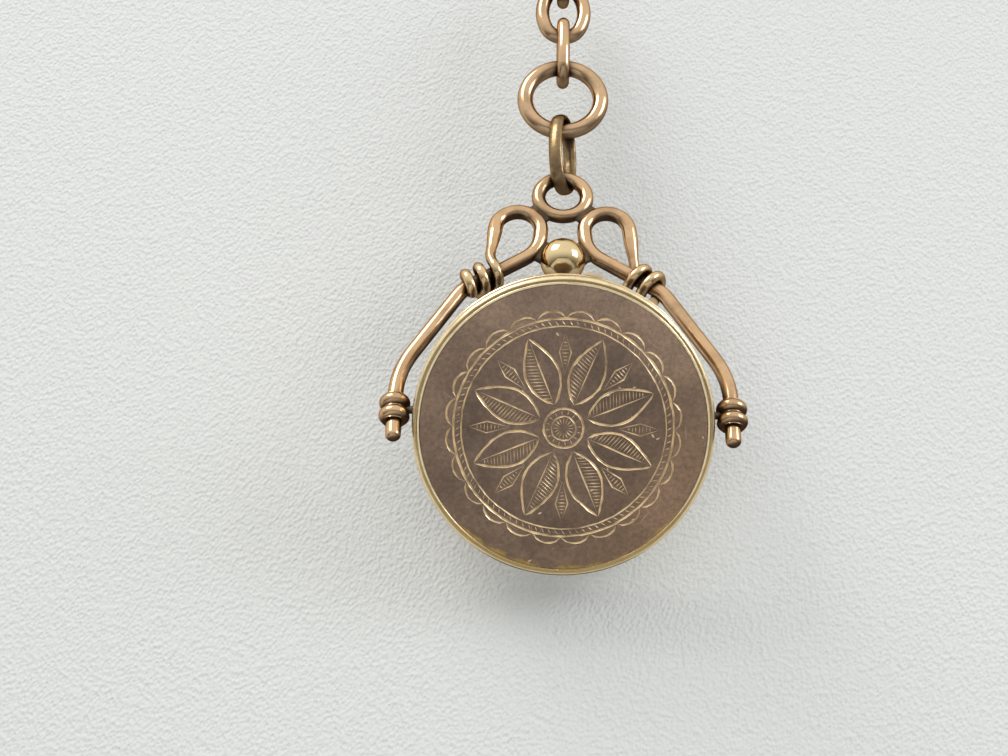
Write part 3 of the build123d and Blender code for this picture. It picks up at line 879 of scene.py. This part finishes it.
def cut(points, width, closed=False):
    """Keeps one graver's cut: its points in the plate's plane and its width along them."""
    shaken = []
    for point in points:
        slip = Vector((graver.gauss(0, 1), graver.gauss(0, 1)))
        shaken.append(Vector(point) + slip * graver_shake)
    widths = [width * graver.uniform(*graver_pressure) for point in points]
    strokes.append((shaken, widths, closed))


def spoke(radius, angle):
    """A point of the ornament at this radius and angle."""
    return Vector((radius * math.cos(angle), radius * math.sin(angle)))


def ring_cut(radius, width, steps):
    """A closed round cut."""
    cut([spoke(radius, 2 * math.pi * step / steps) for step in range(steps)], width, closed=True)


def leaf_side(share):
    """Half width of a leaf at a share of its length."""
    crown = math.sin(math.pi * share) ** leaf_roundness
    return leaf_half_width * crown * (leaf_fullness - leaf_thinning * share)


for leaf in range(leaf_count):
    angle = 2 * math.pi * (leaf + 0.5) / leaf_count
    along, aside = spoke(1, angle), spoke(1, angle + math.pi / 2)
    leaf_length = leaf_tip - leaf_root
    for side in (-1, 1):
        edge = []
        for step in range(leaf_steps + 1):
            share = step / leaf_steps
            edge.append(along * (leaf_root + leaf_length * share) + aside * side * leaf_side(share))
        cut(edge, line_width)
    cut([along * (leaf_root + leaf_length * share) for share in midrib_shares], fine_width)
    for vein in range(1, int(leaf_length / vein_pitch) - veins_left_out + 1):
        share = vein * vein_pitch / leaf_length
        vein_end = min(vein_last_share, share + vein_foresight)
        reach = leaf_side(vein_end) * graver.uniform(*vein_reach)
        start = along * (leaf_root + leaf_length * share) + aside * vein_gap
        cut([start, start + aside * reach + along * reach * vein_lean], hatch_width)
    between = angle + math.pi / leaf_count
    along, aside = spoke(1, between), spoke(1, between + math.pi / 2)
    for side in (-1, 1):
        shoulder = along * dart_shoulder + aside * side * dart_half_width
        cut([along * dart_root, shoulder, along * dart_tip], fine_width)
    for bar in range(dart_bars):
        centre = along * (dart_bar_start + bar * dart_bar_pitch)
        half = aside * (dart_bar_half * (1 - abs(bar - dart_widest_bar) / dart_bar_taper))
        cut([centre - half, centre + half], hatch_width)

ring_cut(boss_outer, line_width, boss_outer_steps)
ring_cut(boss_inner, fine_width, boss_inner_steps)
for index in range(boss_rays):
    angle = 2 * math.pi * index / boss_rays
    cut([spoke(radius, angle) for radius in boss_ray], hatch_width)
    cut([spoke(radius, angle + boss_tick_turn) for radius in boss_tick], hatch_width)
ring_cut(border_inner, fine_width, border_inner_steps)
ring_cut(border_outer, line_width, border_outer_steps)
for tick in range(tick_count):
    angle = 2 * math.pi * tick / tick_count
    start = spoke(border_inner + tick_gaps[0], angle)
    cut([start, spoke(border_outer - tick_gaps[1], angle + tick_turn)], hatch_width)
for scallop in range(scallop_count):
    turn = 2 * math.pi / scallop_count
    arc = []
    for step in range(scallop_steps + 1):
        share = step / scallop_steps
        lift = scallop_height * math.sin(math.pi * share) ** scallop_roundness
        arc.append(spoke(border_outer + scallop_gap + lift, turn * (scallop + share)))
    cut(arc, scallop_width)

# The cuts become edges of one flat net, whose points then sink to the cuts' depth.
net_points, net_edges, centre_lines = [], [], []


def net_run(points, closed):
    """Adds a run of points and the edges between them to the net."""
    first = len(net_points)
    net_points.extend(points)
    count = len(points)
    for step in range(count - 1 + closed):
        net_edges.append((first + step, first + (step + 1) % count))


for points, widths, closed in strokes:
    lefts, rights = [], []
    for index, point in enumerate(points):
        before = points[index - 1] if closed or index else point
        after = points[(index + 1) % len(points)] if closed or index + 1 < len(points) else point
        course = (after - before).normalized()
        tip = not closed and index in (0, len(points) - 1)
        half = 0.0 if tip else widths[index] / 2
        lefts.append(point + Vector((-course.y, course.x)) * half)
        rights.append(point - Vector((-course.y, course.x)) * half)
    if len(points) == 2:
        middle = (points[0] + points[1]) / 2
        course = (points[1] - points[0]).normalized()
        half = Vector((-course.y, course.x)) * widths[0] / 2
        lefts.insert(1, middle + half)
        rights.insert(1, middle - half)
        points = [points[0], middle, points[1]]
        widths = [widths[0]] * 3
    net_run(lefts, closed)
    net_run(rights, closed)
    net_run(points, closed)
    count = len(points)
    for step in range(count - 1 + closed):
        after = (step + 1) % count
        start_half = 0.0 if not closed and step == 0 else widths[step] / 2
        end_half = 0.0 if not closed and after == count - 1 else widths[after] / 2
        centre_lines.append((*points[step], *points[after], start_half, end_half))
net_run(
    [
        spoke(plate_radius, 2 * math.pi * step / plate_edge_steps)
        for step in range(plate_edge_steps)
    ],
    True,
)
lines = np.array(centre_lines)


def sunk(places):
    """Depth of the cuts at these places of the plate's plane."""
    depth = np.zeros(len(places))
    course = lines[:, 2:4] - lines[:, 0:2]
    batch = 512
    for start in range(0, len(places), batch):
        from_start = places[start : start + batch, None, :] - lines[None, :, 0:2]
        share = np.clip((from_start * course).sum(2) / (course**2).sum(1), 0, 1)
        away = np.linalg.norm(from_start - share[..., None] * course, axis=2)
        half = lines[:, 4] + (lines[:, 5] - lines[:, 4]) * share
        depth[start : start + batch] = np.maximum(half - away, 0).max(1)
    return depth * cut_slope


flat_points, _, flat_faces, *_ = delaunay_2d_cdt(net_points, net_edges, [], 0, net_tolerance)
flat_points = np.array([tuple(point) for point in flat_points])
depths = sunk(flat_points)
centres = np.array([flat_points[list(face)].mean(0) for face in flat_faces])
in_cut = sunk(centres) > cut_bright_depth
face_middle = plate_middle + plate_out * plate_thickness / 2


def on_plate(x, y, depth):
    """A place on the plate, at this depth below its face."""
    return face_middle + plate_across * x + plate_up * y - plate_out * depth


body = bmesh.new()
top = [body.verts.new(on_plate(x, y, depth)) for (x, y), depth in zip(flat_points, depths)]
for face, bright in zip(flat_faces, in_cut):
    made = body.faces.new([top[index] for index in face])
    made.material_index = int(bright)
rim_edges = [edge for edge in body.edges if edge.is_boundary]
skirt = bmesh.ops.extrude_edge_only(body, edges=rim_edges)["geom"]
for vert in skirt:
    if isinstance(vert, bmesh.types.BMVert):
        vert.co -= plate_out * plate_thickness
bmesh.ops.holes_fill(body, edges=[edge for edge in body.edges if edge.is_boundary], sides=0)
bmesh.ops.recalc_face_normals(body, faces=body.faces)
plate_mesh = bpy.data.meshes.new("engraved_plate")
body.to_mesh(plate_mesh)
body.free()
plate_mesh.materials.append(plate_material("engraved_patina_and_painted_light", ornament_greyness))
cut_gold = metal(
    "cut_gold",
    cut_colour,
    cut_dirt_and_shade,
    cloud=0.9,
    polish=0.24,
    shelter=0.00005,
    cloud_scale=700.0,
)
plate_mesh.materials.append(cut_gold)
engraved_plate = bpy.data.objects.new("engraved_plate", plate_mesh)
bpy.context.scene.collection.objects.link(engraved_plate)
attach(engraved_plate, "locket")
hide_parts("front_plate")

# Keepsakes. Each half holds a blank disc of paper under a clear crystal, kept in by a ring that
# springs into the rim. The paper has yellowed and the crystal is a little smeared.
paper_colour = (0.74, 0.66, 0.50, 1)
paper_stain = (0.60, 0.50, 0.34, 1)
paper_stain_scale = 130
paper_roughness = 0.85
fibre_scale = 2600
fibre_depth = 0.00002
fibre_strength = 0.6
crystal_colour = (0.97, 0.98, 0.97, 1)
crystal_index = 1.5
smear_scale = 240
smear_run = (0.35, 0.75)
smear_roughness = (0.02, 0.16)

paper, tree, output = new_material("aged_paper")
place = put(tree, "ShaderNodeTexCoord").outputs["Object"]
fibre = put(
    tree,
    "ShaderNodeTexNoise",
    {"Vector": place, "Scale": fibre_scale, "Detail": 6, "Roughness": 0.7},
)
stain = put(tree, "ShaderNodeTexNoise", {"Vector": place, "Scale": paper_stain_scale, "Detail": 3})
bump = put(
    tree,
    "ShaderNodeBump",
    {"Height": fibre, "Distance": fibre_depth, "Strength": fibre_strength},
)
shader = put(
    tree,
    "ShaderNodeBsdfPrincipled",
    {
        "Base Color": mixed(tree, stain, paper_colour, paper_stain),
        "Roughness": paper_roughness,
        "Normal": bump,
    },
)
tree.links.new(shader.outputs[0], output.inputs["Surface"])
dress(paper, "paper", "front_photo", "back_photo")

crystal, tree, output = new_material("crystal")
place = put(tree, "ShaderNodeTexCoord").outputs["Object"]
smear = put(tree, "ShaderNodeTexNoise", {"Vector": place, "Scale": smear_scale, "Detail": 4})
shader = put(
    tree,
    "ShaderNodeBsdfPrincipled",
    {
        "Base Color": crystal_colour,
        "Roughness": spread(tree, smear, *smear_run, *smear_roughness),
        "Transmission Weight": 1.0,
        "IOR": crystal_index,
    },
)
tree.links.new(shader.outputs[0], output.inputs["Surface"])
dress(crystal, "glass", "front_crystal", "back_crystal")
